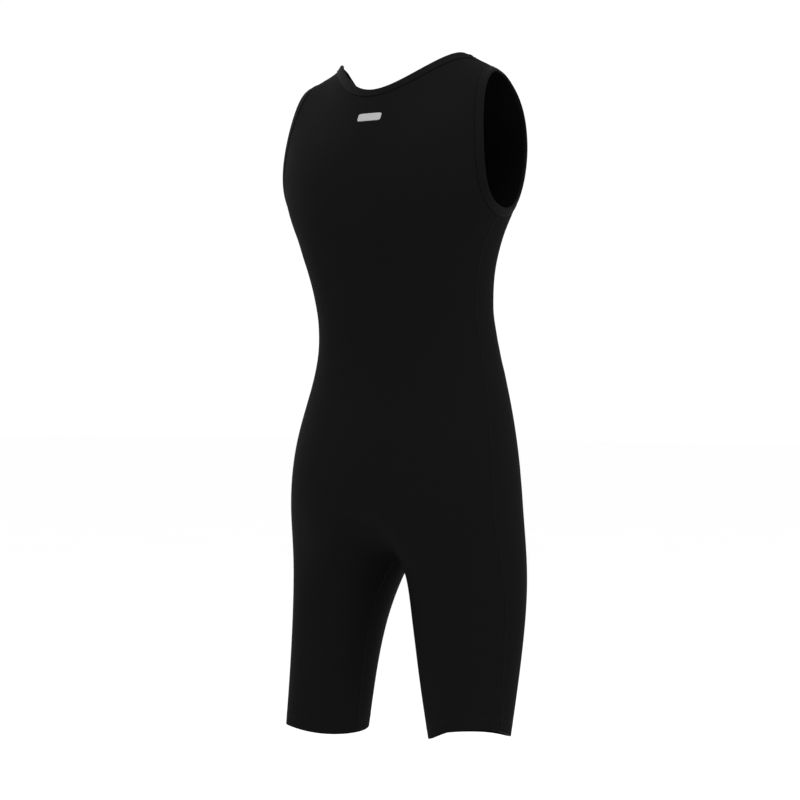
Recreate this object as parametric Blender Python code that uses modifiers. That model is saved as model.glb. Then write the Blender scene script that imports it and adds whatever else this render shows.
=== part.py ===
"""Sleeveless shorty wetsuit, hollow and filled out as when worn.

Two panels of foam rubber cloth, front and back, meet at the shoulders, the sides and
the inseam. A narrow band finishes the neck and each armhole. The wearer faces -Y, with
the left side at +X. The origin is midway between the shoulders, at the height of the
straps that rest on them.
"""

import math
from collections import namedtuple

import bmesh
import bpy
from mathutils import Vector

MM = 0.001
SUIT_NAME = "shorty_wetsuit"

# Cloth
WALL = 2.5 * MM
SEAM_GAP = 0.3 * MM
BAND_WIDTH = 13.0 * MM
BAND_WALL = 0.9 * MM
BAND_GAP = 0.3 * MM

# Smoothing of the section tables into one surface
SMOOTH_LEVELS = 2
FIT_ROUNDS = 12

# Trunk rings are counted from the left side round the back, leg rings from the outside.
TRUNK_POINTS = 16
LEG_POINTS = 12
MID_BACK, RIGHT_SIDE, MID_FRONT = 4, 8, 12
BACK, FRONT = 0, 1

# Trunk sections, millimetres. seam_turn is how far the side seam lies behind the side.
Ring = namedtuple("Ring", "z half_width y_side y_back y_front seam_turn")
TRUNK_RINGS = (
    Ring(-262, 147, 12, 122, -93, 4),
    Ring(-345, 132.5, 0, 99, -98, 6),
    Ring(-430, 144, -9, 91, -114, 9),
    Ring(-525, 166.5, -3, 116, -121, 12),
    Ring(-612, 176.5, -3, 124, -123, 14),
    Ring(-668, 181.5, -8, 111, -118, 15),
)
TRUNK_SQUARENESS = 2.3

# The crotch line runs under the body in the middle plane, from the back to the front.
CrotchPoint = namedtuple("CrotchPoint", "y z")
CROTCH_BACK = CrotchPoint(84, -652)
CROTCH_LINE = (CrotchPoint(42, -675), CrotchPoint(-8, -682), CrotchPoint(-54, -674))
CROTCH_FRONT = CrotchPoint(-94, -648)

# Leg sections, millimetres. x_mid is counted outwards from the middle plane.
# The long axis lies slant degrees inwards from straight back.
LegRing = namedtuple("LegRing", "z x_mid y_mid half_short half_long slant seam_turn")
LEG_RINGS = (
    LegRing(-740, 106.5, -3, 78, 85, 30, 17),
    LegRing(-838, 117, 10, 65.5, 74, 35, 14),
    LegRing(-942, 124, 20, 58, 61.5, -30, 8),
)

# Each hem rises or falls by rise at its direction, counted from the outside to the back.
Hem = namedtuple("Hem", "direction rise")
HEMS = {"left": Hem(160, -8), "right": Hem(45, 22)}

# Rows across the sheets above the underarms, from the lowest up. edge is on the armhole.
# A low squareness bends a row early, a high one keeps it flat as far as the armhole.
YokeRow = namedtuple("YokeRow", "edge_x edge_y edge_z mid_y mid_z squareness")
BACK_ROWS = (
    YokeRow(176, 50, -180, 131, -212, 2.8),
    YokeRow(174, 60, -120, 127, -150, 2.5),
    YokeRow(165, 44, -46, 108, -90, 1.6),
)
FRONT_ROWS = (
    YokeRow(165, -45, -185, -98, -214, 2.8),
    YokeRow(156, -83, -115, -108, -165, 2.5),
    YokeRow(154, -66, -42, -98, -122, 1.6),
)
ACROSS = (1.0, 0.76, 0.40, 0.0, -0.40, -0.76, -1.0)
UNDERARM = (171, 6, -202)
SHOULDER_TIP = (160, 3, -11)
NECK_POINT = (108, 0, 17)
BACK_NECK_SIDE = (69, 51, -2)
BACK_NECK_MID = (0, 81, -33)
FRONT_NECK_SIDE = (80, -44, -44)
FRONT_NECK_MID = (0, -85, -84)

# Between neck and tip each strap rises over the shoulder, most at lift_x to each side.
StrapRise = namedtuple("StrapRise", "lift_x lift_y rise reach_x reach_y lowest")
STRAP_RISE = StrapRise(134, 2, 5.5, 18, 26, -60)

# Finish
CLOTH_COLOUR = (0.012, 0.012, 0.013, 1.0)
BAND_COLOUR = (0.009, 0.009, 0.010, 1.0)
CLOTH_ROUGHNESS = 0.72
BAND_ROUGHNESS = 0.60


def clear_scene():
    for old in list(bpy.data.objects):
        bpy.data.objects.remove(old, do_unlink=True)


def cloth_material(name, colour, roughness):
    material = bpy.data.materials.new(name)
    material.use_nodes = True
    shader = material.node_tree.nodes["Principled BSDF"]
    shader.inputs["Base Color"].default_value = colour
    shader.inputs["Roughness"].default_value = roughness
    shader.inputs["Metallic"].default_value = 0.0
    return material


def signed_power(value, power):
    return math.copysign(abs(value) ** power, value)


def turned(angle, seam_turn):
    """Angle round a section, with the points near the side turned towards the back."""
    turn = math.radians(seam_turn)
    return angle + turn * abs(math.cos(angle)) * math.copysign(1.0, math.cos(angle))


def trunk_point(ring, index):
    angle = turned(2 * math.pi * index / TRUNK_POINTS, ring.seam_turn)
    power = 2 / TRUNK_SQUARENESS
    across = signed_power(math.cos(angle), power)
    along = signed_power(math.sin(angle), power)
    depth = ring.y_back - ring.y_side if along > 0 else ring.y_side - ring.y_front
    return Vector((ring.half_width * across, ring.y_side + depth * along, ring.z)) * MM


def leg_point(ring, outward, index):
    """Point of a leg's section. outward is 1 on the left leg and -1 on the right."""
    slant = math.radians(ring.slant)
    angle = turned(2 * math.pi * index / LEG_POINTS, ring.seam_turn) - slant
    short = ring.half_short * math.cos(angle)
    long = ring.half_long * math.sin(angle)
    x = ring.x_mid + short * math.cos(slant) - long * math.sin(slant)
    y = ring.y_mid + short * math.sin(slant) + long * math.cos(slant)
    return Vector((outward * x, y, ring.z)) * MM


def hem_shift(hem, index):
    angle = 2 * math.pi * index / LEG_POINTS - math.radians(hem.direction)
    return hem.rise * max(0.0, math.cos(angle)) * MM


def yoke_row(row):
    """Seven points across a sheet, from the left armhole to the right one."""
    points = []
    for share in ACROSS:
        bend = abs(share) ** row.squareness
        y = row.mid_y + (row.edge_y - row.mid_y) * bend
        z = row.mid_z + (row.edge_z - row.mid_z) * bend
        points.append(Vector((row.edge_x * share, y, z)) * MM)
    return points


def both_sides(point):
    x, y, z = point
    return Vector((x, y, z)) * MM, Vector((-x, y, z)) * MM


def add_row(cage, points):
    return [cage.verts.new(point) for point in points]


def join_rows(cage, upper, lower, tags, closed):
    """Quads between two rows of the cage, each tagged with the panel that it is cut in."""
    count = len(upper) if closed else len(upper) - 1
    for start in range(count):
        end = (start + 1) % len(upper)
        face = cage.faces.new((upper[start], upper[end], lower[end], lower[start]))
        face.material_index = tags[start]


def add_yoke(cage, rows, top, lowest, tag):
    """Sheet from its lowest row of cage points to the shoulders and the neckline."""
    below = lowest
    for row in rows + [top]:
        join_rows(cage, row, below, [tag] * len(row), closed=False)
        below = row


def add_leg(cage, outward, top, hem):
    """Three rows of quads down one leg: its first half is back panel, the rest front."""
    half = LEG_POINTS // 2
    tags = [BACK] * half + [FRONT] * half
    above = top
    for ring in LEG_RINGS:
        points = [leg_point(ring, outward, index) for index in range(LEG_POINTS)]
        if ring is LEG_RINGS[-1]:
            for index, point in enumerate(points):
                point.z += hem_shift(hem, index)
        row = add_row(cage, points)
        join_rows(cage, above, row, tags, closed=True)
        above = row


def make_cage():
    """Coarse cage through every point of the tables, as one bmesh."""
    cage = bmesh.new()

    left_underarm, right_underarm = [cage.verts.new(p) for p in both_sides(UNDERARM)]
    left_tip, right_tip = [cage.verts.new(p) for p in both_sides(SHOULDER_TIP)]
    left_neck, right_neck = [cage.verts.new(p) for p in both_sides(NECK_POINT)]

    back_rows = [add_row(cage, yoke_row(row)) for row in BACK_ROWS]
    front_rows = [add_row(cage, yoke_row(row)) for row in FRONT_ROWS]

    tops = []
    for side, middle in ((BACK_NECK_SIDE, BACK_NECK_MID), (FRONT_NECK_SIDE, FRONT_NECK_MID)):
        left, right = both_sides(side)
        neckline = add_row(cage, (left, Vector(middle) * MM, right))
        tops.append([left_tip, left_neck] + neckline + [right_neck, right_tip])
    add_yoke(cage, back_rows[1:], tops[BACK], back_rows[0], BACK)
    add_yoke(cage, front_rows[1:], tops[FRONT], front_rows[0], FRONT)

    above = [left_underarm] + back_rows[0] + [right_underarm] + front_rows[0][::-1]
    half = TRUNK_POINTS // 2
    trunk_tags = [BACK] * half + [FRONT] * half
    for ring in TRUNK_RINGS:
        points = [trunk_point(ring, index) for index in range(TRUNK_POINTS)]
        if ring is TRUNK_RINGS[-1]:
            points[MID_BACK] = Vector((0, CROTCH_BACK.y, CROTCH_BACK.z)) * MM
            points[MID_FRONT] = Vector((0, CROTCH_FRONT.y, CROTCH_FRONT.z)) * MM
        row = add_row(cage, points)
        join_rows(cage, above, row, trunk_tags, closed=True)
        above = row

    crotch = add_row(cage, [Vector((0, point.y, point.z)) * MM for point in CROTCH_LINE])
    left_top = above[:MID_BACK + 1] + crotch + above[MID_FRONT:]
    right_top = above[RIGHT_SIDE:MID_BACK - 1:-1] + crotch + above[MID_FRONT:RIGHT_SIDE:-1]
    add_leg(cage, 1, left_top, HEMS["left"])
    add_leg(cage, -1, right_top, HEMS["right"])

    bmesh.ops.recalc_face_normals(cage, faces=cage.faces)
    return cage


def strap_lift(point):
    """How far a point of the cloth is raised over the shoulder."""
    x, y, z = point / MM
    if z < STRAP_RISE.lowest:
        return 0.0
    across = (abs(x) - STRAP_RISE.lift_x) / STRAP_RISE.reach_x
    along = (y - STRAP_RISE.lift_y) / STRAP_RISE.reach_y
    return STRAP_RISE.rise * math.exp(-(across ** 2 + along ** 2) / 2) * MM


def smooth_skin():
    """Outer face of the cloth: a subdivided cage, fitted to pass through its own points."""
    cage = make_cage()
    mesh = bpy.data.meshes.new("skin_cage")
    cage.to_mesh(mesh)
    cage.free()
    guide = bpy.data.objects.new("skin_cage", mesh)
    bpy.context.scene.collection.objects.link(guide)
    smooth = guide.modifiers.new("smooth", "SUBSURF")
    smooth.levels = SMOOTH_LEVELS
    smooth.render_levels = SMOOTH_LEVELS

    wanted = [vertex.co.copy() for vertex in mesh.vertices]
    for _ in range(FIT_ROUNDS):
        bpy.context.view_layer.update()
        evaluated = guide.evaluated_get(bpy.context.evaluated_depsgraph_get())
        reached = [evaluated.data.vertices[i].co.copy() for i in range(len(wanted))]
        for vertex, goal, now in zip(mesh.vertices, wanted, reached):
            vertex.co += goal - now
        mesh.update()

    bpy.context.view_layer.update()
    evaluated = guide.evaluated_get(bpy.context.evaluated_depsgraph_get())
    skin = bmesh.new()
    skin.from_mesh(evaluated.data)
    bpy.data.objects.remove(guide, do_unlink=True)
    for vertex in skin.verts:
        vertex.co.z += strap_lift(vertex.co)
    bmesh.ops.triangulate(skin, faces=skin.faces)
    skin.normal_update()
    skin.verts.index_update()
    return skin


def link_solid(name, solid, material, collection):
    bmesh.ops.recalc_face_normals(solid, faces=solid.faces)
    mesh = bpy.data.meshes.new(name)
    solid.to_mesh(mesh)
    solid.free()
    mesh.shade_smooth()
    mesh.materials.append(material)
    for polygon in mesh.polygons:
        polygon.material_index = 0
    piece = bpy.data.objects.new(name, mesh)
    collection.objects.link(piece)
    return piece


def inward(loop):
    """Direction from a face's edge into the face, along the surface."""
    start, end = loop.vert, loop.link_loop_next.vert
    return loop.face.normal.cross(end.co - start.co).normalized()


def make_panel(name, skin, tag, material, collection):
    """Wall of cloth on the skin's faces of one tag, drawn back from its seams."""
    faces = [face for face in skin.faces if face.material_index == tag]
    pulls = {}
    rims = []
    for face in faces:
        for loop in face.loops:
            neighbours = [other for other in loop.edge.link_faces if other is not face]
            if neighbours and neighbours[0].material_index == tag:
                continue
            rims.append((loop.vert, loop.link_loop_next.vert))
            if neighbours:
                for vertex in rims[-1]:
                    pulls.setdefault(vertex, Vector())
                    pulls[vertex] += inward(loop)

    solid = bmesh.new()
    outer, inner = {}, {}
    for vertex in {vertex for face in faces for vertex in face.verts}:
        place = vertex.co.copy()
        if vertex in pulls:
            place += pulls[vertex].normalized() * SEAM_GAP / 2
        outer[vertex] = place
        inner[vertex] = place - vertex.normal * WALL
    ordered = sorted(outer, key=lambda vertex: vertex.index)
    outer = {vertex: solid.verts.new(outer[vertex]) for vertex in ordered}
    inner = {vertex: solid.verts.new(inner[vertex]) for vertex in ordered}
    for face in faces:
        solid.faces.new([outer[vertex] for vertex in face.verts])
        solid.faces.new([inner[vertex] for vertex in reversed(face.verts)])
    for start, end in rims:
        ring = (outer[end], outer[start], inner[start], inner[end])
        if start.index < end.index:
            ring = ring[1:] + ring[:1]
        solid.faces.new(ring[:3])
        solid.faces.new((ring[0],) + ring[2:])
    return link_solid(name, solid, material, collection)


def opening_loop(skin, near):
    """Edge loops of the skin's opening whose edge passes nearest to a point."""
    rim = {loop.vert: loop for face in skin.faces for loop in face.loops
           if loop.edge.is_boundary}
    start = min(rim, key=lambda vertex: (vertex.co - near).length)
    loops = [rim[start]]
    while loops[-1].link_loop_next.vert is not start:
        loops.append(rim[loops[-1].link_loop_next.vert])
    return loops


def spokes(loop):
    """Edges that run from an opening's rim into the cloth at one point, in rim order."""
    found = []
    corner = loop
    while not corner.link_loop_prev.edge.is_boundary:
        found.append(corner.link_loop_prev.edge)
        corner = corner.link_loop_prev.link_loop_radial_next
    return found[::-1]


def band_heights(solid, place, normal):
    """Points of the band's inner and outer face over one place on the cloth."""
    inner = solid.verts.new(place + normal * BAND_GAP)
    outer = solid.verts.new(place + normal * (BAND_GAP + BAND_WALL))
    return inner, outer


def make_band(name, skin, near, material, collection):
    """Flat band on the cloth along one opening's edge."""
    solid = bmesh.new()
    stations = []
    loops = opening_loop(skin, near)
    for place, loop in enumerate(loops):
        rim = loop.vert
        across = (inward(loop) + inward(loops[place - 1])).normalized()
        rim_inner, rim_outer = band_heights(solid, rim.co, rim.normal)
        for edge in spokes(loop):
            far = edge.other_vert(rim)
            share = min(1.0, BAND_WIDTH / across.dot(far.co - rim.co))
            place = rim.co.lerp(far.co, share)
            normal = rim.normal.lerp(far.normal, share).normalized()
            inner, outer = band_heights(solid, place, normal)
            stations.append((rim_inner, inner, outer, rim_outer))
    for place, station in enumerate(stations):
        before = stations[place - 1]
        for corner, point in enumerate(station):
            after = (corner + 1) % len(station)
            ring = dict.fromkeys((before[corner], before[after], station[after], point))
            if len(ring) > 2:
                solid.faces.new(list(ring))
    return link_solid(name, solid, material, collection)


def main():
    clear_scene()
    suit = bpy.data.collections.new(SUIT_NAME)
    bpy.context.scene.collection.children.link(suit)
    cloth = cloth_material("foam_rubber_cloth", CLOTH_COLOUR, CLOTH_ROUGHNESS)
    edging = cloth_material("band_cloth", BAND_COLOUR, BAND_ROUGHNESS)

    skin = smooth_skin()
    make_panel("back_panel", skin, BACK, cloth, suit)
    make_panel("front_panel", skin, FRONT, cloth, suit)
    left_underarm, right_underarm = both_sides(UNDERARM)
    make_band("armhole_band_left", skin, left_underarm, edging, suit)
    make_band("armhole_band_right", skin, right_underarm, edging, suit)
    make_band("neck_band", skin, Vector(BACK_NECK_MID) * MM, edging, suit)
    skin.free()


main()
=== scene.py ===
"""Looks of the sleeveless shorty wetsuit: cloth, bands, seams, stitches and a plain stage.

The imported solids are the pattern. Each panel's outer face is lifted from its node, made
smooth, given soft creases and thickened again. Bands, stitches and the blank mark are
laid on that same cloth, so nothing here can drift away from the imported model.
"""

import math
from collections import namedtuple

import bmesh
import bpy
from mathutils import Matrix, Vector
from mathutils.bvhtree import BVHTree
from mathutils.kdtree import KDTree


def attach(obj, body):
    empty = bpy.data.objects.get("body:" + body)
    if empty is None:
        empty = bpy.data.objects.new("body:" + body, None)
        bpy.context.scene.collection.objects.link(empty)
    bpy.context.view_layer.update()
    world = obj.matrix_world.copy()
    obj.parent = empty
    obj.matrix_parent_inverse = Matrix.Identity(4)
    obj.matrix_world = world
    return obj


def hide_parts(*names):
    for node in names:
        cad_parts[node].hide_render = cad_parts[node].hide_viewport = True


bl_info = {
    "name": "Sleeveless Shorty Wetsuit",
    "version": (1, 0, 0),
    "blender": (4, 5, 0),
    "location": "3D View > Sidebar > Wetsuit",
    "description": "Dresses a packed wetsuit in cloth, bands, seams and stitches",
    "category": "Object",
}

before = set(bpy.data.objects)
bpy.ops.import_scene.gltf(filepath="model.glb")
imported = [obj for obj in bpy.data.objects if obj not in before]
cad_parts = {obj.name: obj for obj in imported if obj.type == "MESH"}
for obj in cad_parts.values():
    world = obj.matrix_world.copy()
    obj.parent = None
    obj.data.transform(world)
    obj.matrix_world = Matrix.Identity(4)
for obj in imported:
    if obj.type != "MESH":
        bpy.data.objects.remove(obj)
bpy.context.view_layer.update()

MM = 0.001
BODY = "root"

SIDES = {"left": 1, "right": -1}

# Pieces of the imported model
BACK = "back_panel"
FRONT = "front_panel"
NECK_BAND = "neck_band"
ARMHOLE_BANDS = {"left": "armhole_band_left", "right": "armhole_band_right"}

# Corners of the two panels, in metres, on the wearer's left side. The right mirrors them.
CORNERS = {
    "underarm": Vector((0.171, 0.006, -0.202)),
    "tip": Vector((0.160, 0.003, -0.011)),
    "neck": Vector((0.108, 0.000, 0.017)),
    "hem_side": Vector((0.182, 0.030, -0.942)),
    "hem_inner": Vector((0.066, 0.027, -0.945)),
}
CORNER_REACH = 30 * MM

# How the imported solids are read
MERGE_REACH = 0.01 * MM
EDGE_TURN = math.radians(50)

# Cut size of each sheet in metres, width and length, and its area in square metres
Cut = namedtuple("Cut", "flat area")


# ---------------------------------------------------------------- settings


class ClothSettings(bpy.types.PropertyGroup):
    colour: bpy.props.FloatVectorProperty(
        name="Face colour",
        description="Colour of the knit on the outside",
        subtype="COLOR",
        size=3,
        min=0.0,
        max=1.0,
        default=(0.0050, 0.0050, 0.0050),
    )
    lining_colour: bpy.props.FloatVectorProperty(
        name="Lining colour",
        description="Colour of the knit on the inside",
        subtype="COLOR",
        size=3,
        min=0.0,
        max=1.0,
        default=(0.0028, 0.0028, 0.0028),
    )
    wall: bpy.props.FloatProperty(
        name="Wall",
        description="Thickness of the foam rubber cloth",
        subtype="DISTANCE",
        unit="LENGTH",
        default=2.5 * MM,
        min=1.0 * MM,
        max=3.0 * MM,
    )
    edge_round: bpy.props.FloatProperty(
        name="Edge rounding",
        description="Radius where the face turns into a cut edge",
        subtype="DISTANCE",
        unit="LENGTH",
        default=0.6 * MM,
        min=0.1 * MM,
        max=1.2 * MM,
    )
    smoothing: bpy.props.IntProperty(
        name="Smoothing",
        description="Times that each panel's faces are split in four",
        default=2,
        min=1,
        max=2,
    )
    crease_share: bpy.props.FloatProperty(
        name="Crease depth",
        description="Share of each crease's full depth",
        subtype="FACTOR",
        default=1.0,
        min=0.0,
        max=2.0,
    )
    wale: bpy.props.FloatProperty(
        name="Wale width",
        description="Width of one column of knit loops",
        subtype="DISTANCE",
        unit="LENGTH",
        default=0.85 * MM,
        min=0.4 * MM,
        max=3.0 * MM,
    )


class BandSettings(bpy.types.PropertyGroup):
    # The band's colour is set a little darker than the face cloth's: painted shade where the band
    # turns away over the cloth's edge.
    colour: bpy.props.FloatVectorProperty(
        name="Band colour",
        description="Colour of the smooth band at the neck and armholes",
        subtype="COLOR",
        size=3,
        min=0.0,
        max=1.0,
        default=(0.0046, 0.0046, 0.0046),
    )
    width: bpy.props.FloatProperty(
        name="Outside width",
        description="Width of the band on the outside of the cloth",
        subtype="DISTANCE",
        unit="LENGTH",
        default=10.8 * MM,
        min=6.0 * MM,
        max=20.0 * MM,
    )
    inside_width: bpy.props.FloatProperty(
        name="Inside width",
        description="Width of the band on the inside of the cloth",
        subtype="DISTANCE",
        unit="LENGTH",
        default=6.0 * MM,
        min=3.0 * MM,
        max=20.0 * MM,
    )
    set_back: bpy.props.FloatProperty(
        name="Cloth set back",
        description="How far the cloth is cut back where the band folds over its edge",
        subtype="DISTANCE",
        unit="LENGTH",
        default=2.3 * MM,
        min=0.0,
        max=4.0 * MM,
    )
    height: bpy.props.FloatProperty(
        name="Band height",
        description="Thickness of the band at its middle",
        subtype="DISTANCE",
        unit="LENGTH",
        default=0.6 * MM,
        min=0.4 * MM,
        max=1.5 * MM,
    )
    gap: bpy.props.FloatProperty(
        name="Band clearance",
        description="Gap between the band and the cloth below it",
        subtype="DISTANCE",
        unit="LENGTH",
        default=0.2 * MM,
        min=0.1 * MM,
        max=0.5 * MM,
    )


class StitchSettings(bpy.types.PropertyGroup):
    colour: bpy.props.FloatVectorProperty(
        name="Thread colour",
        description="Colour of every thread",
        subtype="COLOR",
        size=3,
        min=0.0,
        max=1.0,
        default=(0.0058, 0.0058, 0.0058),
    )
    thread: bpy.props.FloatProperty(
        name="Thread width",
        description="Diameter of the thread",
        subtype="DISTANCE",
        unit="LENGTH",
        default=0.42 * MM,
        min=0.2 * MM,
        max=0.8 * MM,
    )
    pitch: bpy.props.FloatProperty(
        name="Stitch length",
        description="Distance from one stitch to the next",
        subtype="DISTANCE",
        unit="LENGTH",
        default=2.8 * MM,
        min=1.5 * MM,
        max=5.0 * MM,
    )
    seam_width: bpy.props.FloatProperty(
        name="Seam stitch width",
        description="How far the seam's stitches reach over both panels",
        subtype="DISTANCE",
        unit="LENGTH",
        default=3.6 * MM,
        min=2.0 * MM,
        max=8.0 * MM,
    )
    hem_rise: bpy.props.FloatProperty(
        name="Hem stitch rise",
        description="Distance of the hem's stitches from the leg's edge",
        subtype="DISTANCE",
        unit="LENGTH",
        default=14.0 * MM,
        min=6.0 * MM,
        max=25.0 * MM,
    )


class MarkSettings(bpy.types.PropertyGroup):
    colour: bpy.props.FloatVectorProperty(
        name="Mark colour",
        description="Colour of the blank pressed mark on the back",
        subtype="COLOR",
        size=3,
        min=0.0,
        max=1.0,
        default=(0.32, 0.32, 0.32),
    )
    width: bpy.props.FloatProperty(
        name="Mark width",
        description="Width of the blank mark",
        subtype="DISTANCE",
        unit="LENGTH",
        default=38.0 * MM,
        min=10.0 * MM,
        max=60.0 * MM,
    )
    height: bpy.props.FloatProperty(
        name="Mark height",
        description="Height of the blank mark",
        subtype="DISTANCE",
        unit="LENGTH",
        default=11.0 * MM,
        min=3.0 * MM,
        max=20.0 * MM,
    )


class StageSettings(bpy.types.PropertyGroup):
    floor_colour: bpy.props.FloatVectorProperty(
        name="Floor colour",
        description="Colour of the pale floor",
        subtype="COLOR",
        size=3,
        min=0.0,
        max=1.0,
        default=(0.97, 0.97, 0.97),
    )
    lens: bpy.props.FloatProperty(
        name="Lens",
        description="Focal length of the camera in millimetres",
        subtype="DISTANCE_CAMERA",
        default=95.5,
        min=20.0,
        max=200.0,
    )
    daylight: bpy.props.FloatProperty(
        name="Room light",
        description="Strength of the even light from all round",
        default=1.03,
        min=0.0,
        max=3.0,
    )


class WetsuitSettings(bpy.types.PropertyGroup):
    cloth: bpy.props.PointerProperty(type=ClothSettings)
    band: bpy.props.PointerProperty(type=BandSettings)
    stitch: bpy.props.PointerProperty(type=StitchSettings)
    mark: bpy.props.PointerProperty(type=MarkSettings)
    stage: bpy.props.PointerProperty(type=StageSettings)


# ---------------------------------------------------------------- shader maths

# Each cloth piece's layout as it lies flat, in metres
CUT_MAP = "cloth_cut"

# Sockets of Blender's own nodes that are known by number alone
MIX_SHARE, MIX_LOW, MIX_HIGH = 0, 6, 7
MIX_RESULT = 2
OBJECT_PLACE = 3


class Wire:
    """A number in a material. Arithmetic on it adds the Math nodes that work it out."""

    def __init__(self, material, socket):
        self.material = material
        self.socket = socket

    def maths(self, operation, *others):
        sockets = dict(enumerate((self,) + others))
        return self.material.node("ShaderNodeMath", {"operation": operation}, sockets)

    def flipped(self, operation, other):
        """An operation with the other number first."""
        return self.material.node(
            "ShaderNodeMath", {"operation": operation}, {0: other, 1: self}
        )

    def __add__(self, other):
        return self.maths("ADD", other)

    __radd__ = __add__

    def __mul__(self, other):
        return self.maths("MULTIPLY", other)

    __rmul__ = __mul__

    def __sub__(self, other):
        return self.maths("SUBTRACT", other)

    def __rsub__(self, other):
        return self.flipped("SUBTRACT", other)

    def __truediv__(self, other):
        return self.maths("DIVIDE", other)

    def __rtruediv__(self, other):
        return self.flipped("DIVIDE", other)

    def __abs__(self):
        return self.maths("ABSOLUTE")


def shade(colour, share):
    """A colour times a share, fully opaque."""
    return tuple(channel * share for channel in colour) + (1.0,)


class Finish:
    """A material and its one shader, with a single way to add any other node."""

    def __init__(self, name, roughness, specular):
        self.data = bpy.data.materials.new(name)
        self.data.use_nodes = True
        self.tree = self.data.node_tree
        self.shader = self.tree.nodes["Principled BSDF"]
        self.shader.inputs["Roughness"].default_value = roughness
        self.shader.inputs["Metallic"].default_value = 0.0
        self.shader.inputs["Specular IOR Level"].default_value = specular

    def node(self, kind, settings=None, sockets=None, output=0):
        """Adds a node: its settings first, then the values or links of its sockets."""
        node = self.tree.nodes.new(kind)
        for name, value in (settings or {}).items():
            setattr(node, name, value)
        for name, value in (sockets or {}).items():
            if isinstance(value, Wire):
                self.tree.links.new(value.socket, node.inputs[name])
            else:
                node.inputs[name].default_value = value
        return Wire(self, node.outputs[output])

    def drive(self, name, wire):
        self.tree.links.new(wire.socket, self.shader.inputs[name])

    def colour(self, colour, share, low, high):
        """Base colour from low to high times a colour, as a share goes from 0 to 1."""
        sockets = {MIX_SHARE: share, MIX_LOW: shade(colour, low), MIX_HIGH: shade(colour, high)}
        mixed = self.node("ShaderNodeMix", {"data_type": "RGBA"}, sockets, output=MIX_RESULT)
        self.drive("Base Color", mixed)

    def bump(self, height, strength, distance):
        sockets = {"Height": height, "Strength": strength, "Distance": distance}
        self.drive("Normal", self.node("ShaderNodeBump", {}, sockets))

    def cloth_place(self):
        """Distances across and along the cut cloth, in metres."""
        spot = self.node("ShaderNodeUVMap", {"uv_map": CUT_MAP})
        across = self.node("ShaderNodeSeparateXYZ", {}, {0: spot})
        along = Wire(self, across.socket.node.outputs[1])
        return across, along

    def place(self):
        """Place in the object's own space, in metres."""
        return self.node("ShaderNodeTexCoord", {}, {}, output=OBJECT_PLACE)

    def noise(self, scale, detail):
        sockets = {"Vector": self.place(), "Scale": scale, "Detail": detail}
        return self.node("ShaderNodeTexNoise", {}, sockets)


# Knit: length of a loop and slant of its legs, in columns, and how far the yarn dips
COURSE_SHARE = 0.78
LEG_SLANT = 0.5
YARN_DIP = 0.45


def knit_loops(finish, wale_width):
    """Height of a jersey knit's loops, from 0 between the yarns to 1 on top of them."""
    across, along = finish.cloth_place()
    column = (across / wale_width).maths("FRACT")
    off_middle = abs(column - 0.5) * 2.0
    row = along / (wale_width * COURSE_SHARE) + off_middle * LEG_SLANT
    beads = (row * (2 * math.pi)).maths("SINE") * 0.5 + 0.5
    yarn = (off_middle * math.pi).maths("SINE")
    return yarn * (beads * YARN_DIP + (1 - YARN_DIP))


FACE_ROUGHNESS = 0.76
FACE_SPECULAR = 0.014
LINING_ROUGHNESS = 0.85
KNIT_DEPTH = 0.06 * MM
KNIT_STRENGTH = 0.55

# How much coarser the lining's knit is than the face's
LINING_COARSENESS = 1.5

# Noise: how fine it is, in waves a metre
PATCHES = 6.0
FIBRES = 900.0
FUZZ = 700.0
FOAM_CELLS = 3200.0
BAND_PATCHES = 14.0
STRANDS = 1500.0
FILM_GRAIN = 350.0
FLOOR_DAPPLE = 2.0

# Columns and beads of the band's ribs
RIB_WIDTH = 0.9 * MM
BEAD_LENGTH = 0.6 * MM


def face_cloth(cloth):
    """Smooth nylon knit on the outside, matt black."""
    finish = Finish("knit_face", roughness=FACE_ROUGHNESS, specular=FACE_SPECULAR)
    loops = knit_loops(finish, cloth.wale)
    patches = finish.noise(PATCHES, detail=3.0)
    fibres = finish.noise(FIBRES, detail=2.0)
    # The loops' share is lighter on top of the yarns and darker between them, where the bump is low:
    # painted shade in the knit's hollows. The patches and fibres vary the tone at random.
    knit_shade_and_tone = loops * 0.35 + patches * 0.45 + fibres * 0.20
    finish.colour(cloth.colour, knit_shade_and_tone, low=0.80, high=1.20)
    finish.drive("Roughness", patches * 0.10 + loops * -0.06 + (FACE_ROUGHNESS - 0.02))
    finish.bump(loops + fibres * 0.35, strength=KNIT_STRENGTH, distance=KNIT_DEPTH)
    return finish.data


def lining_cloth(cloth):
    """Coarser brushed knit on the inside."""
    finish = Finish("knit_lining", roughness=LINING_ROUGHNESS, specular=0.02)
    loops = knit_loops(finish, cloth.wale * LINING_COARSENESS)
    fuzz = finish.noise(FUZZ, detail=3.0)
    # The loops' share darkens the colour between the yarns, where the bump is low: painted shade in
    # the knit's hollows. The fuzz varies the tone at random.
    finish.colour(cloth.lining_colour, fuzz * 0.6 + loops * 0.4, low=0.75, high=1.25)
    height = loops * 0.6 + fuzz * 0.6
    finish.bump(height, strength=0.6, distance=KNIT_DEPTH * LINING_COARSENESS)
    return finish.data


def foam_edge(cloth):
    """Cut edge: closed cells of black foam rubber between the two knits."""
    finish = Finish("foam_edge", roughness=0.62, specular=0.06)
    sockets = {"Vector": finish.place(), "Scale": FOAM_CELLS}
    cells = finish.node("ShaderNodeTexVoronoi", {"feature": "F1"}, sockets)
    # Darker towards the middle of each cell, where the bump sinks: painted shade in the foam's open
    # cells.
    finish.colour(cloth.colour, cells, low=0.55, high=1.15)
    finish.bump(cells, strength=0.5, distance=0.08 * MM)
    return finish.data


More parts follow.
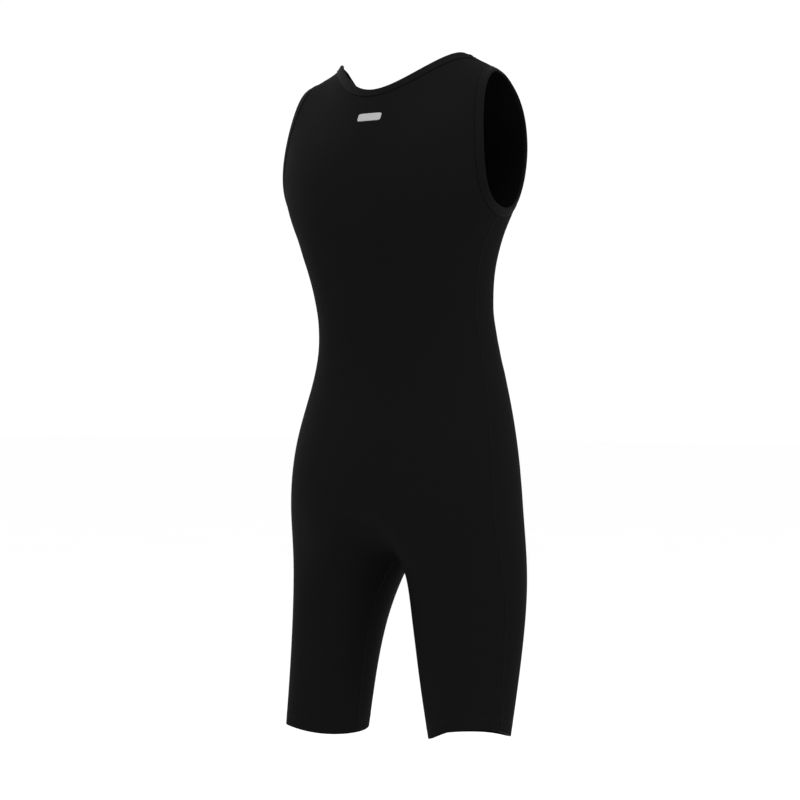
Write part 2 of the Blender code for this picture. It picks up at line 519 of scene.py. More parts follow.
def band_cloth(band):
    """Smooth elastic band: fine ribs along its length."""
    finish = Finish("band_knit", roughness=0.62, specular=0.02)
    across, along = finish.cloth_place()
    ribs = (across / RIB_WIDTH * (2 * math.pi)).maths("SINE") * 0.5 + 0.5
    beads = (along / BEAD_LENGTH * (2 * math.pi)).maths("SINE") * 0.5 + 0.5
    patches = finish.noise(BAND_PATCHES, detail=2.0)
    height = ribs * (beads * 0.3 + 0.7)
    # Half the colour follows the ribs' height, darker in the grooves between ribs and beads: painted
    # shade. The patches vary the tone at random.
    finish.colour(band.colour, height * 0.5 + patches * 0.5, low=0.80, high=1.20)
    finish.drive("Roughness", patches * 0.12 + 0.56)
    finish.bump(height, strength=0.5, distance=KNIT_DEPTH)
    return finish.data


def twisted_thread(stitch):
    """Polyester thread: glossier than the cloth, with a slight change from strand to strand."""
    finish = Finish("thread", roughness=0.50, specular=0.08)
    strands = finish.noise(STRANDS, detail=2.0)
    finish.colour(stitch.colour, strands, low=0.70, high=1.30)
    finish.bump(strands, strength=0.4, distance=0.05 * MM)
    return finish.data


def pressed_film(mark, wale):
    """Pale pressed film with the knit showing faintly through: its bump, and painted shade between
    the yarns.
    """
    finish = Finish("pressed_film", roughness=0.48, specular=0.35)
    loops = knit_loops(finish, wale)
    grain = finish.noise(FILM_GRAIN, detail=3.0)
    # The loops' share darkens the film between the yarns: painted shade. The grain varies the tone
    # at random.
    finish.colour(mark.colour, loops * 0.4 + grain * 0.6, low=0.86, high=1.06)
    finish.bump(loops, strength=0.3, distance=0.04 * MM)
    return finish.data


# ---------------------------------------------------------------- cloth geometry


def skin_islands(shell):
    """Groups of faces that no sharp edge divides."""
    waiting = set(shell.faces)
    islands = []
    while waiting:
        todo = [waiting.pop()]
        island = []
        while todo:
            face = todo.pop()
            island.append(face)
            for edge in face.edges:
                if not edge.is_manifold or edge.calc_face_angle() > EDGE_TURN:
                    continue
                for other in edge.link_faces:
                    if other in waiting:
                        waiting.remove(other)
                        todo.append(other)
        islands.append(island)
    return islands


def faces_outward(island, towards):
    """Area of a group of faces as seen from one side; less than 0 from behind."""
    total = Vector()
    for face in island:
        total += face.normal * face.calc_area()
    return total.dot(towards)


def outer_skin(node_name, towards):
    """Outer face of a packed panel as one open mesh of quads."""
    shell = bmesh.new()
    shell.from_mesh(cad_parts[node_name].data)
    bmesh.ops.remove_doubles(shell, verts=shell.verts, dist=MERGE_REACH)
    keep = set(max(skin_islands(shell), key=lambda island: faces_outward(island, towards)))
    spare = [face for face in shell.faces if face not in keep]
    bmesh.ops.delete(shell, geom=spare, context="FACES")
    bmesh.ops.join_triangles(
        shell,
        faces=shell.faces,
        angle_face_threshold=math.pi,
        angle_shape_threshold=math.pi,
        topology_influence=1.0,
    )
    return shell


def add_object(name, shell, finishes):
    """Puts a shell in the scene as a smooth object with its finishes."""
    mesh = bpy.data.meshes.new(name)
    shell.to_mesh(mesh)
    shell.free()
    mesh.materials.clear()
    for finish in finishes:
        mesh.materials.append(finish)
    for polygon in mesh.polygons:
        polygon.material_index = 0
        polygon.use_smooth = True
    piece = bpy.data.objects.new(name, mesh)
    bpy.context.scene.collection.objects.link(piece)
    return piece


def make_only(piece):
    """Makes one object the active one and the only one selected."""
    for other in bpy.context.selected_objects:
        other.select_set(False)
    piece.select_set(True)
    bpy.context.view_layer.objects.active = piece


def apply_all(piece):
    """Applies every modifier of a piece, in order."""
    make_only(piece)
    for modifier in list(piece.modifiers):
        bpy.ops.object.modifier_apply(modifier=modifier.name)


def layout_facts(mesh, layer):
    """Area of the layout, and which way in it the cloth rises."""
    area = 0.0
    lean = Vector((0.0, 0.0))
    for polygon in mesh.polygons:
        corners = [layer.uv[loop].vector for loop in polygon.loop_indices]
        heights = [mesh.vertices[vertex].co.z for vertex in polygon.vertices]
        middle = sum(corners, Vector((0.0, 0.0))) / len(corners)
        level = sum(heights) / len(heights)
        for corner, height in zip(corners, heights):
            lean += (corner - middle) * (height - level)
        for first, second in zip(corners[1:], corners[2:]):
            area += (first - corners[0]).cross(second - corners[0]) / 2
    return abs(area), lean


def lay_out_flat(piece):
    """Unwraps the sheet into its cut shape, in metres, with the rows of knit level."""
    make_only(piece)
    mesh = piece.data
    mesh.uv_layers.new(name=CUT_MAP)
    bpy.ops.object.mode_set(mode="EDIT")
    bpy.ops.mesh.select_all(action="SELECT")
    bpy.ops.uv.unwrap(method="ANGLE_BASED", margin=0.0)
    bpy.ops.object.mode_set(mode="OBJECT")
    layer = mesh.uv_layers[CUT_MAP]
    flat_area, lean = layout_facts(mesh, layer)
    cloth_area = sum(polygon.area for polygon in mesh.polygons)
    size = math.sqrt(cloth_area / flat_area)
    turn = math.pi / 2 - math.atan2(lean.y, lean.x)
    cos = math.cos(turn) * size
    sin = math.sin(turn) * size
    for spot in layer.uv:
        x, y = spot.vector
        spot.vector = (x * cos - y * sin, x * sin + y * cos)


# A crease is a soft trough along a line, with a low swelling on both sides. Millimetres.
Crease = namedtuple("Crease", "line spread depth")
CREASES = {
    BACK: (
        Crease(((128, 62, -352), (86, 92, -372), (48, 100, -366)), 11, 1.0),
        Crease(((-130, 58, -338), (-92, 88, -356), (-40, 99, -360)), 12, 0.8),
        Crease(((-134, 52, -392), (-104, 84, -402), (-70, 92, -396)), 10, 0.7),
        Crease(((134, 54, -404), (100, 86, -418), (74, 92, -410)), 10, 0.6),
        Crease(((8, 70, -668), (46, 96, -686), (92, 92, -690), (140, 66, -676)), 12, 1.1),
        Crease(((-8, 70, -668), (-44, 96, -690), (-88, 94, -698), (-132, 70, -688)), 12, 1.2),
        Crease(((150, 60, -226), (118, 100, -258), (92, 112, -300)), 12, 0.7),
        Crease(((-152, 58, -220), (-122, 98, -248), (-88, 112, -282)), 12, 0.8),
        Crease(((12, 98, -640), (58, 120, -622), (96, 118, -600)), 14, 0.6),
        Crease(((-12, 98, -640), (-52, 120, -626), (-92, 120, -606)), 14, 0.6),
    ),
    FRONT: (
        Crease(((128, -48, -350), (88, -84, -372), (44, -98, -378)), 11, 0.9),
        Crease(((-126, -50, -342), (-90, -84, -360), (-36, -99, -366)), 12, 0.9),
        Crease(((138, -60, -414), (100, -98, -428), (64, -108, -424)), 10, 0.6),
        Crease(((-138, -58, -408), (-104, -96, -424), (-72, -106, -418)), 10, 0.7),
        Crease(((10, -78, -660), (52, -108, -636), (104, -106, -604), (150, -66, -572)), 12, 1.2),
        Crease(((-10, -78, -660), (-50, -108, -640), (-98, -108, -610), (-146, -70, -580)), 12, 1.1),
        Crease(((148, -44, -224), (116, -82, -252), (86, -94, -292)), 12, 0.7),
        Crease(((-148, -44, -228), (-112, -84, -262), (-84, -94, -300)), 12, 0.7),
    ),
}

# The swelling's distance in spreads and its share of the depth, and how a crease's ends fade
SWELL_AT = 2.1
SWELL_SHARE = 0.35
CREASE_ENDS = 0.12


def line_distance(point, line):
    """Distance to a line of points, and how far along it the nearest place is, 0 to 1."""
    nearest = (math.inf, 0.0)
    spans = len(line) - 1
    for place in range(spans):
        start, end = line[place], line[place + 1]
        run = end - start
        share = min(1.0, max(0.0, (point - start).dot(run) / run.length_squared))
        gap = (point - start - run * share).length
        nearest = min(nearest, (gap, (place + share) / spans))
    return nearest


def crease_depth(point, creases):
    """How far the cloth sinks at a point, in metres; less than 0 where it swells."""
    depth = 0.0
    for line, spread, full in creases:
        if (point - line[len(line) // 2]).length > (line[0] - line[-1]).length + 4 * spread:
            continue
        gap, along = line_distance(point, line)
        off = gap / spread
        fade = math.sin(math.pi * (CREASE_ENDS + (1 - 2 * CREASE_ENDS) * along))
        swell = SWELL_SHARE * math.exp(-((off - SWELL_AT) ** 2))
        depth += full * fade * (math.exp(-off * off) - swell)
    return depth


def press_creases(piece, creases, share):
    """Sinks the cloth along its creases, and leaves its border where it is."""
    ready = []
    for crease in creases:
        line = [Vector(point) * MM for point in crease.line]
        ready.append((line, crease.spread * MM, crease.depth * MM * share))
    mesh = piece.data
    normals = [vertex.normal.copy() for vertex in mesh.vertices]
    border = {vertex for key in border_edges(mesh) for vertex in key}
    for vertex, normal in zip(mesh.vertices, normals):
        if vertex.index not in border:
            vertex.co -= normal * crease_depth(vertex.co, ready)


def border_edges(mesh):
    """Edges with a face on one side only, each as a pair of vertex numbers."""
    uses = {}
    for polygon in mesh.polygons:
        for key in polygon.edge_keys:
            uses[key] = uses.get(key, 0) + 1
    return {key for key, count in uses.items() if count == 1}


# A place on the cloth, the way out of it, and the way along it from an edge
Station = namedtuple("Station", "place normal inward")


def border_chain(mesh):
    """The sheet's border as one closed line of stations."""
    border = border_edges(mesh)
    follow = {}
    for polygon in mesh.polygons:
        corners = list(polygon.vertices)
        for start, end in zip(corners, corners[1:] + corners[:1]):
            if (min(start, end), max(start, end)) in border:
                follow[start] = end
    first = min(follow)
    order = [first]
    while follow[order[-1]] != first:
        order.append(follow[order[-1]])
    places = [mesh.vertices[index].co.copy() for index in order]
    normals = [mesh.vertices[index].normal.copy() for index in order]
    chain = []
    for spot, (place, normal) in enumerate(zip(places, normals)):
        run = places[(spot + 1) % len(places)] - places[spot - 1]
        chain.append(Station(place, normal, normal.cross(run).normalized()))
    return chain


def mirrored(point, side):
    return Vector((point.x * side, point.y, point.z))


def corner_on(chain, goal):
    """Where a closed chain turns most sharply near a place."""
    found = None
    sharpest = 1.0
    for spot, station in enumerate(chain):
        if (station.place - goal).length > CORNER_REACH:
            continue
        before = (station.place - chain[spot - 1].place).normalized()
        after = (chain[(spot + 1) % len(chain)].place - station.place).normalized()
        if before.dot(after) < sharpest:
            sharpest = before.dot(after)
            found = spot
    if found is None:
        raise RuntimeError("a panel has no corner near its place")
    return found


def run_between(chain, start, end):
    """Stations of a closed chain from one corner to the other, the shorter way round."""
    first = corner_on(chain, start)
    last = corner_on(chain, end)
    count = len(chain)
    ahead = (last - first) % count
    if ahead <= count - ahead:
        return [chain[(first + step) % count] for step in range(ahead + 1)]
    return [chain[(first - step) % count] for step in range(count - ahead + 1)]


# Keeps a corner's weight finite where a place falls on it
CORNER_BLUR = 0.2 * MM


class Cloth:
    """Both finished outer faces: their borders, and the nearest place on either."""

    def __init__(self, panels):
        self.chains = {name: border_chain(piece.data) for name, piece in panels.items()}
        self.points = []
        self.normals = []
        self.faces = []
        for piece in panels.values():
            start = len(self.points)
            self.points += [vertex.co.copy() for vertex in piece.data.vertices]
            self.normals += [vertex.normal.copy() for vertex in piece.data.vertices]
            for polygon in piece.data.polygons:
                self.faces.append([start + vertex for vertex in polygon.vertices])
        self.tree = BVHTree.FromPolygons(self.points, self.faces)

    def nearest(self, point):
        """Nearest place on the cloth and the smooth normal there."""
        place, _, face, _ = self.tree.find_nearest(point)
        total = Vector()
        for vertex in self.faces[face]:
            gap = (self.points[vertex] - place).length
            total += self.normals[vertex] / (gap + CORNER_BLUR)
        return place, total.normalized()

    def runs(self, start, end):
        """Stations from one corner to another, on the back and on the front panel."""
        goals = [mirrored(CORNERS[name], side) for name, side in (start, end)]
        return [run_between(self.chains[panel], *goals) for panel in (BACK, FRONT)]

    def seam(self, start, end):
        """Middle line of a seam between the two panels."""
        return [middle_station(*pair) for pair in zip(*self.runs(start, end))]

    def opening(self, start, end):
        """Closed line round an opening, out along the back panel, home along the front."""
        back, front = self.runs(start, end)
        return squared(back[:-1] + front[:0:-1])

    def bound_edges(self):
        """The edges that get a band, by the node that the band stands for."""
        edges = {NECK_BAND: self.opening(("neck", 1), ("neck", -1))}
        for name, side in SIDES.items():
            edges[ARMHOLE_BANDS[name]] = self.opening(("underarm", side), ("tip", side))
        return edges


def middle_station(back, front):
    place = (back.place + front.place) / 2
    normal = (back.normal + front.normal).normalized()
    return Station(place, normal, back.inward)


def squared(stations):
    """A closed line with each inward direction square to the line."""
    line = []
    for spot, station in enumerate(stations):
        run = stations[(spot + 1) % len(stations)].place - stations[spot - 1].place
        inward = station.normal.cross(run).normalized()
        if inward.dot(station.inward) < 0:
            inward.negate()
        line.append(Station(station.place, station.normal, inward))
    return line


def evenly(stations, pitch, closed=False):
    """The line walked again with its stations a whole number of pitches apart."""
    line = stations + stations[:1] if closed else stations
    reach = [0.0]
    for before, after in zip(line, line[1:]):
        reach.append(reach[-1] + (after.place - before.place).length)
    steps = max(2, round(reach[-1] / pitch))
    walked = []
    spot = 0
    for step in range(steps if closed else steps + 1):
        goal = reach[-1] * step / steps
        while spot < len(line) - 2 and reach[spot + 1] < goal:
            spot += 1
        span = reach[spot + 1] - reach[spot]
        share = (goal - reach[spot]) / span if span else 0.0
        before, after = line[spot], line[spot + 1]
        place = before.place.lerp(after.place, share)
        normal = before.normal.lerp(after.normal, share).normalized()
        inward = before.inward.lerp(after.inward, share).normalized()
        walked.append(Station(place, normal, inward))
    return walked


# ---------------------------------------------------------------- pieces

# What the operators share while the scene is made
made = {}


def wetsuit(context):
    """All the suit's settings."""
    return context.scene.wetsuit


def stand_for(piece, node_name):
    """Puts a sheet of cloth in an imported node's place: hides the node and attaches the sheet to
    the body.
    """
    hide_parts(node_name)
    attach(piece, BODY)


def lay_on(piece):
    """Lets a piece that stands for no node ride with the suit."""
    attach(piece, BODY)


class WETSUIT_OT_cut_panels(bpy.types.Operator):
    """Make the front and back panels of foam rubber cloth"""

    bl_idname = "wetsuit.cut_panels"
    bl_label = "Cut panels"

    def execute(self, context):
        cloth = wetsuit(context).cloth
        finishes = (face_cloth(cloth), lining_cloth(cloth), foam_edge(cloth))
        panels = {}
        for node_name, towards in ((BACK, Vector((0, 1, 0))), (FRONT, Vector((0, -1, 0)))):
            name = node_name.replace("panel", "cloth")
            piece = add_object(name, outer_skin(node_name, towards), finishes)
            lay_out_flat(piece)
            smooth = piece.modifiers.new("smooth", "SUBSURF")
            smooth.levels = cloth.smoothing
            smooth.render_levels = cloth.smoothing
            smooth.boundary_smooth = "PRESERVE_CORNERS"
            smooth.uv_smooth = "PRESERVE_BOUNDARIES"
            apply_all(piece)
            press_creases(piece, CREASES[node_name], cloth.crease_share)
            panels[node_name] = piece
        set_back_edges(panels, wetsuit(context).band.set_back)
        made["cloth"] = Cloth(panels)
        for node_name, piece in panels.items():
            thicken(piece, cloth)
            stand_for(piece, node_name)
        return {"FINISHED"}


# How far from an opening the cloth gives way when its edge is set back
SET_BACK_REACH = 11.0 * MM


def set_back_edges(panels, set_back):
    """Draws the cloth back from the openings whose edges get a band."""
    edges = Cloth(panels).bound_edges()
    stations = [station for edge in edges.values() for station in edge]
    finder = KDTree(len(stations))
    for spot, station in enumerate(stations):
        finder.insert(station.place, spot)
    finder.balance()
    for piece in panels.values():
        for vertex in piece.data.vertices:
            _, spot, gap = finder.find(vertex.co)
            ease = max(0.0, 1.0 - gap / SET_BACK_REACH) ** 2
            vertex.co += stations[spot].inward * set_back * ease
        piece.data.update()


def thicken(piece, cloth):
    """Gives a sheet its wall, on the inside, and rounds its cut edges."""
    wall = piece.modifiers.new("wall", "SOLIDIFY")
    wall.thickness = cloth.wall
    wall.offset = -1.0
    wall.use_quality_normals = True
    wall.material_offset = 1
    wall.material_offset_rim = 2
    round_edge = piece.modifiers.new("round_edge", "BEVEL")
    round_edge.width = cloth.edge_round
    round_edge.segments = 2
    round_edge.limit_method = "ANGLE"
    round_edge.angle_limit = EDGE_TURN
    round_edge.use_clamp_overlap = True
    apply_all(piece)


# The band's section: rows of points outside and inside, and steps round the cloth's edge.
# A higher fullness keeps the band thick until nearer its free edges.
BAND_STEP = 3.0 * MM
OUTSIDE_ROWS = 8
INSIDE_ROWS = 4
LIP_STEPS = 6
EDGE_FULLNESS = 5


def band_top(share, band):
    """Height of the band over the cloth; it comes down to the cloth at its free edge."""
    return band.gap + band.height * math.sqrt(max(0.0, 1.0 - share ** EDGE_FULLNESS))


def band_section(cloth, station, band, wall):
    """Points right round the band's section: over the band, then back along the cloth."""
    under = []
    over = []
    for row in range(INSIDE_ROWS, 0, -1):
        share = row / INSIDE_ROWS
        goal = station.place + station.inward * band.inside_width * share
        place, normal = cloth.nearest(goal)
        under.append(place - normal * (wall + band.gap))
        over.append(place - normal * (wall + band_top(share, band)))
    middle = station.place - station.normal * wall / 2
    for step in range(LIP_STEPS + 1):
        angle = math.pi * (step / LIP_STEPS - 0.5)
        away = station.normal * math.sin(angle) - station.inward * math.cos(angle)
        under.append(middle + away * (wall / 2 + band.gap))
        over.append(middle + away * (wall / 2 + band.gap + band.height))
    for row in range(1, OUTSIDE_ROWS + 1):
        share = row / OUTSIDE_ROWS
        place, normal = cloth.nearest(station.place + station.inward * band.width * share)
        under.append(place + normal * band.gap)
        over.append(place + normal * band_top(share, band))
    return over + under[-2:0:-1]


def band_shell(cloth, edge, band, wall):
    """Closed tape folded over the edge of an opening."""
    shell = bmesh.new()
    layer = shell.loops.layers.uv.new(CUT_MAP)
    rings = []
    for station in squared(evenly(edge, BAND_STEP, closed=True)):
        section = band_section(cloth, station, band, wall)
        rings.append([shell.verts.new(point) for point in section])
    count = len(rings[0])
    row_width = band.width / OUTSIDE_ROWS
    for spot, after in enumerate(rings):
        before = rings[spot - 1]
        for corner in range(count):
            turn = (corner + 1) % count
            face = shell.faces.new((before[corner], before[turn], after[turn], after[corner]))
            places = ((corner, -1), (turn, -1), (turn, 0), (corner, 0))
            for loop, (point, step) in zip(face.loops, places):
                row = min(point, count - point)
                loop[layer].uv = (row * row_width, (spot + step) * BAND_STEP)
    bmesh.ops.recalc_face_normals(shell, faces=shell.faces)
    return shell


class WETSUIT_OT_bind_openings(bpy.types.Operator):
    """Lay the bands along the neck and the armholes"""

    bl_idname = "wetsuit.bind_openings"
    bl_label = "Bind openings"

    def execute(self, context):
        settings = wetsuit(context)
        band = settings.band
        cloth = made["cloth"]
        finish = band_cloth(band)
        for node_name, edge in cloth.bound_edges().items():
            name = node_name.replace("band", "binding")
            shell = band_shell(cloth, edge, band, settings.cloth.wall)
            stand_for(add_object(name, shell, [finish]), node_name)
        return {"FINISHED"}


THREAD_SIDES = 5


def add_thread(shell, points, radius):
    """Tube of thread through (place, normal) pairs, closed at both ends."""
    rings = []
    last = len(points) - 1
    for spot, (place, normal) in enumerate(points):
        run = points[min(spot + 1, last)][0] - points[max(spot - 1, 0)][0]
        side = run.cross(normal).normalized()
        up = side.cross(run.normalized())
        ring = []
        for corner in range(THREAD_SIDES):
            angle = 2 * math.pi * corner / THREAD_SIDES
            offset = side * math.cos(angle) + up * math.sin(angle)
            ring.append(shell.verts.new(place + offset * radius))
        rings.append(ring)
    for before, after in zip(rings, rings[1:]):
        for corner in range(THREAD_SIDES):
            turn = (corner + 1) % THREAD_SIDES
            shell.faces.new((before[turn], before[corner], after[corner], after[turn]))
    shell.faces.new(rings[0])
    shell.faces.new(rings[-1][::-1])


# Share of a stitch's length, and its rise over the cloth in radii of the thread
STITCH_ARCH = ((0.10, -0.4), (0.28, 0.55), (0.50, 0.85), (0.72, 0.55), (0.90, -0.4))


def lock_stitches(shell, stations, stitch, lift):
    """A row of single stitches, each a short arch of thread."""
    radius = stitch.thread / 2
    for before, after in zip(stations, stations[1:]):
        arch = []
        for share, rise in STITCH_ARCH:
            place = before.place.lerp(after.place, share)
            normal = before.normal.lerp(after.normal, share).normalized()
            arch.append((place + normal * (lift + radius * rise), normal))
        add_thread(shell, arch, radius)


# Share of the zigzag's reach, and its rise in radii: at its turn, then nearer the seam
ZIGZAG = ((1.0, 0.4), (0.55, 1.1))


def seam_ladder(shell, stations, stitch):
    """Zigzag of thread over a seam, from one panel to the other and back."""
    radius = stitch.thread / 2
    reach = stitch.seam_width / 2
    cloth = made["cloth"]
    points = []
    for spot, station in enumerate(stations):
        side = 1 if spot % 2 else -1
        for share, rise in ZIGZAG[::-side]:
            goal = station.place + station.inward * reach * share * side
            place, normal = cloth.nearest(goal)
            points.append((place + normal * radius * rise, normal))
    add_thread(shell, points, radius)


# A seam's two ends, and how many of its first and last steps are left unsewn
Seam = namedtuple("Seam", "start end first last")


class WETSUIT_OT_sew_seams(bpy.types.Operator):
    """Sew the shoulder, side and inseam seams"""

    bl_idname = "wetsuit.sew_seams"
    bl_label = "Sew seams"

    def execute(self, context):
        settings = wetsuit(context)
        stitch = settings.stitch
        cloth = made["cloth"]
        made["thread"] = twisted_thread(stitch)
        step = stitch.pitch / 2
        under_band = math.ceil((settings.band.width + stitch.thread) / step)
        seams = {"inseam": Seam(("hem_inner", 1), ("hem_inner", -1), 1, 1)}
        for name, side in SIDES.items():
            underarm, hem, tip, neck = (
                (corner, side) for corner in ("underarm", "hem_side", "tip", "neck")
            )
            seams["side_seam_" + name] = Seam(underarm, hem, under_band, 1)
            seams["shoulder_seam_" + name] = Seam(tip, neck, under_band, under_band)
        for name, seam in seams.items():
            shell = bmesh.new()
            line = evenly(cloth.seam(seam.start, seam.end), step)
            seam_ladder(shell, line[seam.first:-seam.last], stitch)
            lay_on(add_object(name, shell, [made["thread"]]))
        return {"FINISHED"}


# Where a band's two rows of stitches run, as shares of its outside width
BAND_ROW_SHARES = (0.18, 0.80)
HEM_ROW_GAP = 3.2 * MM


class WETSUIT_OT_stitch_edges(bpy.types.Operator):
    """Stitch the bands down and the leg hems up, in two rows each"""

    bl_idname = "wetsuit.stitch_edges"
    bl_label = "Stitch edges"

    def execute(self, context):
        settings = wetsuit(context)
        stitch = settings.stitch
        band = settings.band
        cloth = made["cloth"]
        lift = band.gap + band.height
        for node_name, edge in cloth.bound_edges().items():
            shell = bmesh.new()
            for share in BAND_ROW_SHARES:
                self.sew_row(shell, cloth, edge, band.width * share, lift, stitch)
            name = node_name.replace("band", "stitches")
            lay_on(add_object(name, shell, [made["thread"]]))
        for name, side in SIDES.items():
            edge = cloth.opening(("hem_side", side), ("hem_inner", side))
            shell = bmesh.new()
            for rise in (stitch.hem_rise, stitch.hem_rise + HEM_ROW_GAP):
                self.sew_row(shell, cloth, edge, rise, 0.0, stitch)
            lay_on(add_object("hem_stitches_" + name, shell, [made["thread"]]))
        return {"FINISHED"}

    def sew_row(self, shell, cloth, edge, offset, lift, stitch):
        """Stitches all round an opening, offset from its edge and lifted off the cloth."""
        line = []
        for station in squared(evenly(edge, stitch.pitch, closed=True)):
            place, normal = cloth.nearest(station.place + station.inward * offset)
            line.append(Station(place, normal, station.inward))
        line = evenly(line, stitch.pitch, closed=True)
        lock_stitches(shell, line + line[:1], stitch, lift)


# The mark lies on the back behind MARK_MIDDLE. A higher squareness sharpens its corners.
MARK_MIDDLE = Vector((-0.009, 0.12, -0.0745))
MARK_COLUMNS = 24
MARK_ROWS = 10
MARK_LIFT = 0.06 * MM
MARK_FILM = 0.18 * MM
MARK_SQUARENESS = 8.0
MARK_RAY_START = 100 * MM


class WETSUIT_OT_press_mark(bpy.types.Operator):
    """Press a blank pale mark on the back, below the neck"""

    bl_idname = "wetsuit.press_mark"
    bl_label = "Press mark"

    def execute(self, context):
        settings = wetsuit(context)
        mark = settings.mark
        cloth = made["cloth"]
        shell = bmesh.new()
        layer = shell.loops.layers.uv.new(CUT_MAP)
        grid = []
        for row in range(MARK_ROWS + 1):
            line = []
            for column in range(MARK_COLUMNS + 1):
                across = 2 * column / MARK_COLUMNS - 1
                up = 2 * row / MARK_ROWS - 1
                pull = self.corner_pull(across, up)
                goal = MARK_MIDDLE + Vector((
                    -across * pull * mark.width / 2, 0, up * pull * mark.height / 2
                ))
                place, normal = cloth.nearest(self.on_back(goal))
                line.append(shell.verts.new(place + normal * (MARK_LIFT + MARK_FILM)))
            grid.append(line)
        for row in range(MARK_ROWS):
            for column in range(MARK_COLUMNS):
                ring = (
                    grid[row][column], grid[row][column + 1],
                    grid[row + 1][column + 1], grid[row + 1][column],
                )
                face = shell.faces.new(ring)
                for loop in face.loops:
                    loop[layer].uv = (loop.vert.co.x, loop.vert.co.z)
        shell.normal_update()
        finish = pressed_film(mark, settings.cloth.wale)
        piece = add_object("blank_mark", shell, [finish])
        film = piece.modifiers.new("film", "SOLIDIFY")
        film.thickness = MARK_FILM
        film.offset = -1.0
        apply_all(piece)
        lay_on(piece)
        return {"FINISHED"}

    def corner_pull(self, across, up):
        """Draws the grid's corners in, so that the mark has round corners."""
        reach = abs(across) ** MARK_SQUARENESS + abs(up) ** MARK_SQUARENESS
        longest = max(abs(across), abs(up))
        return longest / reach ** (1 / MARK_SQUARENESS) if longest > 0 else 1.0

    def on_back(self, goal):
        """The place on the back straight behind a point."""
        start = goal + Vector((0, MARK_RAY_START, 0))
        hit, _, _, _ = made["cloth"].tree.ray_cast(start, Vector((0, -1, 0)))
        if hit is None:
            raise RuntimeError("the mark misses the back")
        return hit


# ---------------------------------------------------------------- stage

CAMERA_PLACE = Vector((-1.7494, 2.4984, -0.4695))
CAMERA_LOOK = Vector((0.5736, -0.8192, 0.0))
CAMERA_SHIFT = -0.00625
FLOOR_LEVEL = -1.42
FLOOR_SIZE = 80.0

# Soft boxes: place, size in metres, power in watts. Each looks at the suit's middle.
SUIT_MIDDLE = Vector((0.0, 0.0, -0.45))
SoftBox = namedtuple("SoftBox", "name place size power")
SOFT_BOXES = (
    SoftBox("key_light", (-1.3, 1.0, 2.3), 1.6, 34),
    SoftBox("rim_light", (2.6, -0.4, 0.8), 1.4, 12),
    SoftBox("top_light", (-0.3, -0.2, 2.2), 1.8, 22),
)


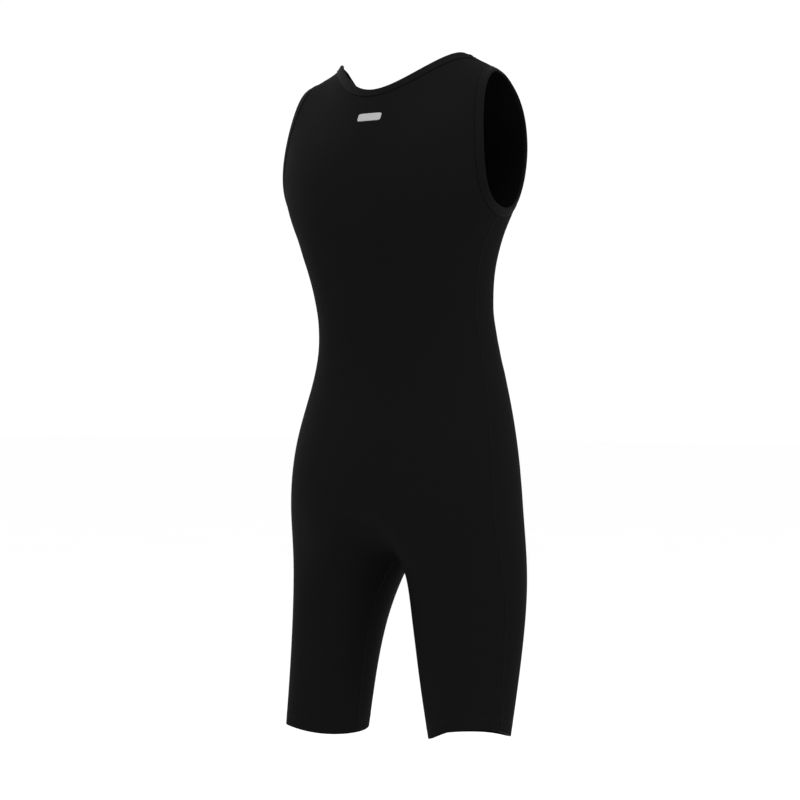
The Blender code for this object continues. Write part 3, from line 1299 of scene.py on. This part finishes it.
class WETSUIT_OT_set_stage(bpy.types.Operator):
    """Set the pale floor, the soft lights and the camera"""

    bl_idname = "wetsuit.set_stage"
    bl_label = "Set stage"

    def execute(self, context):
        stage = wetsuit(context).stage
        self.add_floor(stage)
        self.add_room_light(stage)
        for box in SOFT_BOXES:
            self.add_soft_box(box)
        self.add_camera(stage)
        context.scene.view_settings.view_transform = "Standard"
        context.scene.view_settings.look = "None"
        return {"FINISHED"}

    def add_floor(self, stage):
        half = FLOOR_SIZE / 2
        shell = bmesh.new()
        corners = ((-half, -half), (half, -half), (half, half), (-half, half))
        shell.faces.new([shell.verts.new((x, y, FLOOR_LEVEL)) for x, y in corners])
        finish = Finish("pale_floor", roughness=0.9, specular=0.0)
        dapple = finish.noise(FLOOR_DAPPLE, detail=2.0)
        finish.colour(stage.floor_colour, dapple, low=0.98, high=1.0)
        floor = add_object("floor", shell, [finish.data])

    def add_room_light(self, stage):
        world = bpy.data.worlds.new("pale_room")
        world.use_nodes = True
        background = world.node_tree.nodes["Background"]
        background.inputs["Color"].default_value = (1.0, 1.0, 1.0, 1.0)
        background.inputs["Strength"].default_value = stage.daylight
        bpy.context.scene.world = world

    def add_soft_box(self, box):
        light = bpy.data.lights.new(box.name, "AREA")
        light.shape = "SQUARE"
        light.size = box.size
        light.energy = box.power
        lamp = bpy.data.objects.new(box.name, light)
        lamp.location = box.place
        away = Vector(box.place) - SUIT_MIDDLE
        lamp.rotation_euler = away.to_track_quat("Z", "Y").to_euler()
        bpy.context.scene.collection.objects.link(lamp)

    def add_camera(self, stage):
        data = bpy.data.cameras.new("camera")
        data.lens = stage.lens
        data.sensor_width = 36.0
        data.shift_x = CAMERA_SHIFT
        camera = bpy.data.objects.new("camera", data)
        camera.location = CAMERA_PLACE
        camera.rotation_euler = CAMERA_LOOK.to_track_quat("-Z", "Y").to_euler()
        bpy.context.scene.collection.objects.link(camera)
        bpy.context.scene.camera = camera


# ---------------------------------------------------------------- add-on


class WETSUIT_PT_sidebar(bpy.types.Panel):
    """Sizes, colours and making steps of the wetsuit"""

    bl_idname = "WETSUIT_PT_sidebar"
    bl_label = "Wetsuit"
    bl_space_type = "VIEW_3D"
    bl_region_type = "UI"
    bl_category = "Wetsuit"

    def draw(self, context):
        settings = wetsuit(context)
        for step in STEPS:
            box = self.layout.box()
            box.operator(step.operator.bl_idname)
            group = getattr(settings, step.group)
            for name in group.bl_rna.properties.keys():
                if name not in ("rna_type", "name"):
                    box.prop(group, name)


Step = namedtuple("Step", "operator group")
STEPS = (
    Step(WETSUIT_OT_cut_panels, "cloth"),
    Step(WETSUIT_OT_bind_openings, "band"),
    Step(WETSUIT_OT_sew_seams, "stitch"),
    Step(WETSUIT_OT_stitch_edges, "stitch"),
    Step(WETSUIT_OT_press_mark, "mark"),
    Step(WETSUIT_OT_set_stage, "stage"),
)

CLASSES = (
    ClothSettings,
    BandSettings,
    StitchSettings,
    MarkSettings,
    StageSettings,
    WetsuitSettings,
) + tuple(step.operator for step in STEPS) + (WETSUIT_PT_sidebar,)


def register():
    for kind in CLASSES:
        bpy.utils.register_class(kind)
    bpy.types.Scene.wetsuit = bpy.props.PointerProperty(type=WetsuitSettings)


def unregister():
    del bpy.types.Scene.wetsuit
    for kind in reversed(CLASSES):
        bpy.utils.unregister_class(kind)


def main():
    register()
    bpy.ops.wetsuit.cut_panels()
    bpy.ops.wetsuit.bind_openings()
    bpy.ops.wetsuit.sew_seams()
    bpy.ops.wetsuit.stitch_edges()
    bpy.ops.wetsuit.press_mark()
    bpy.ops.wetsuit.set_stage()


if __name__ == "__main__":
    main()
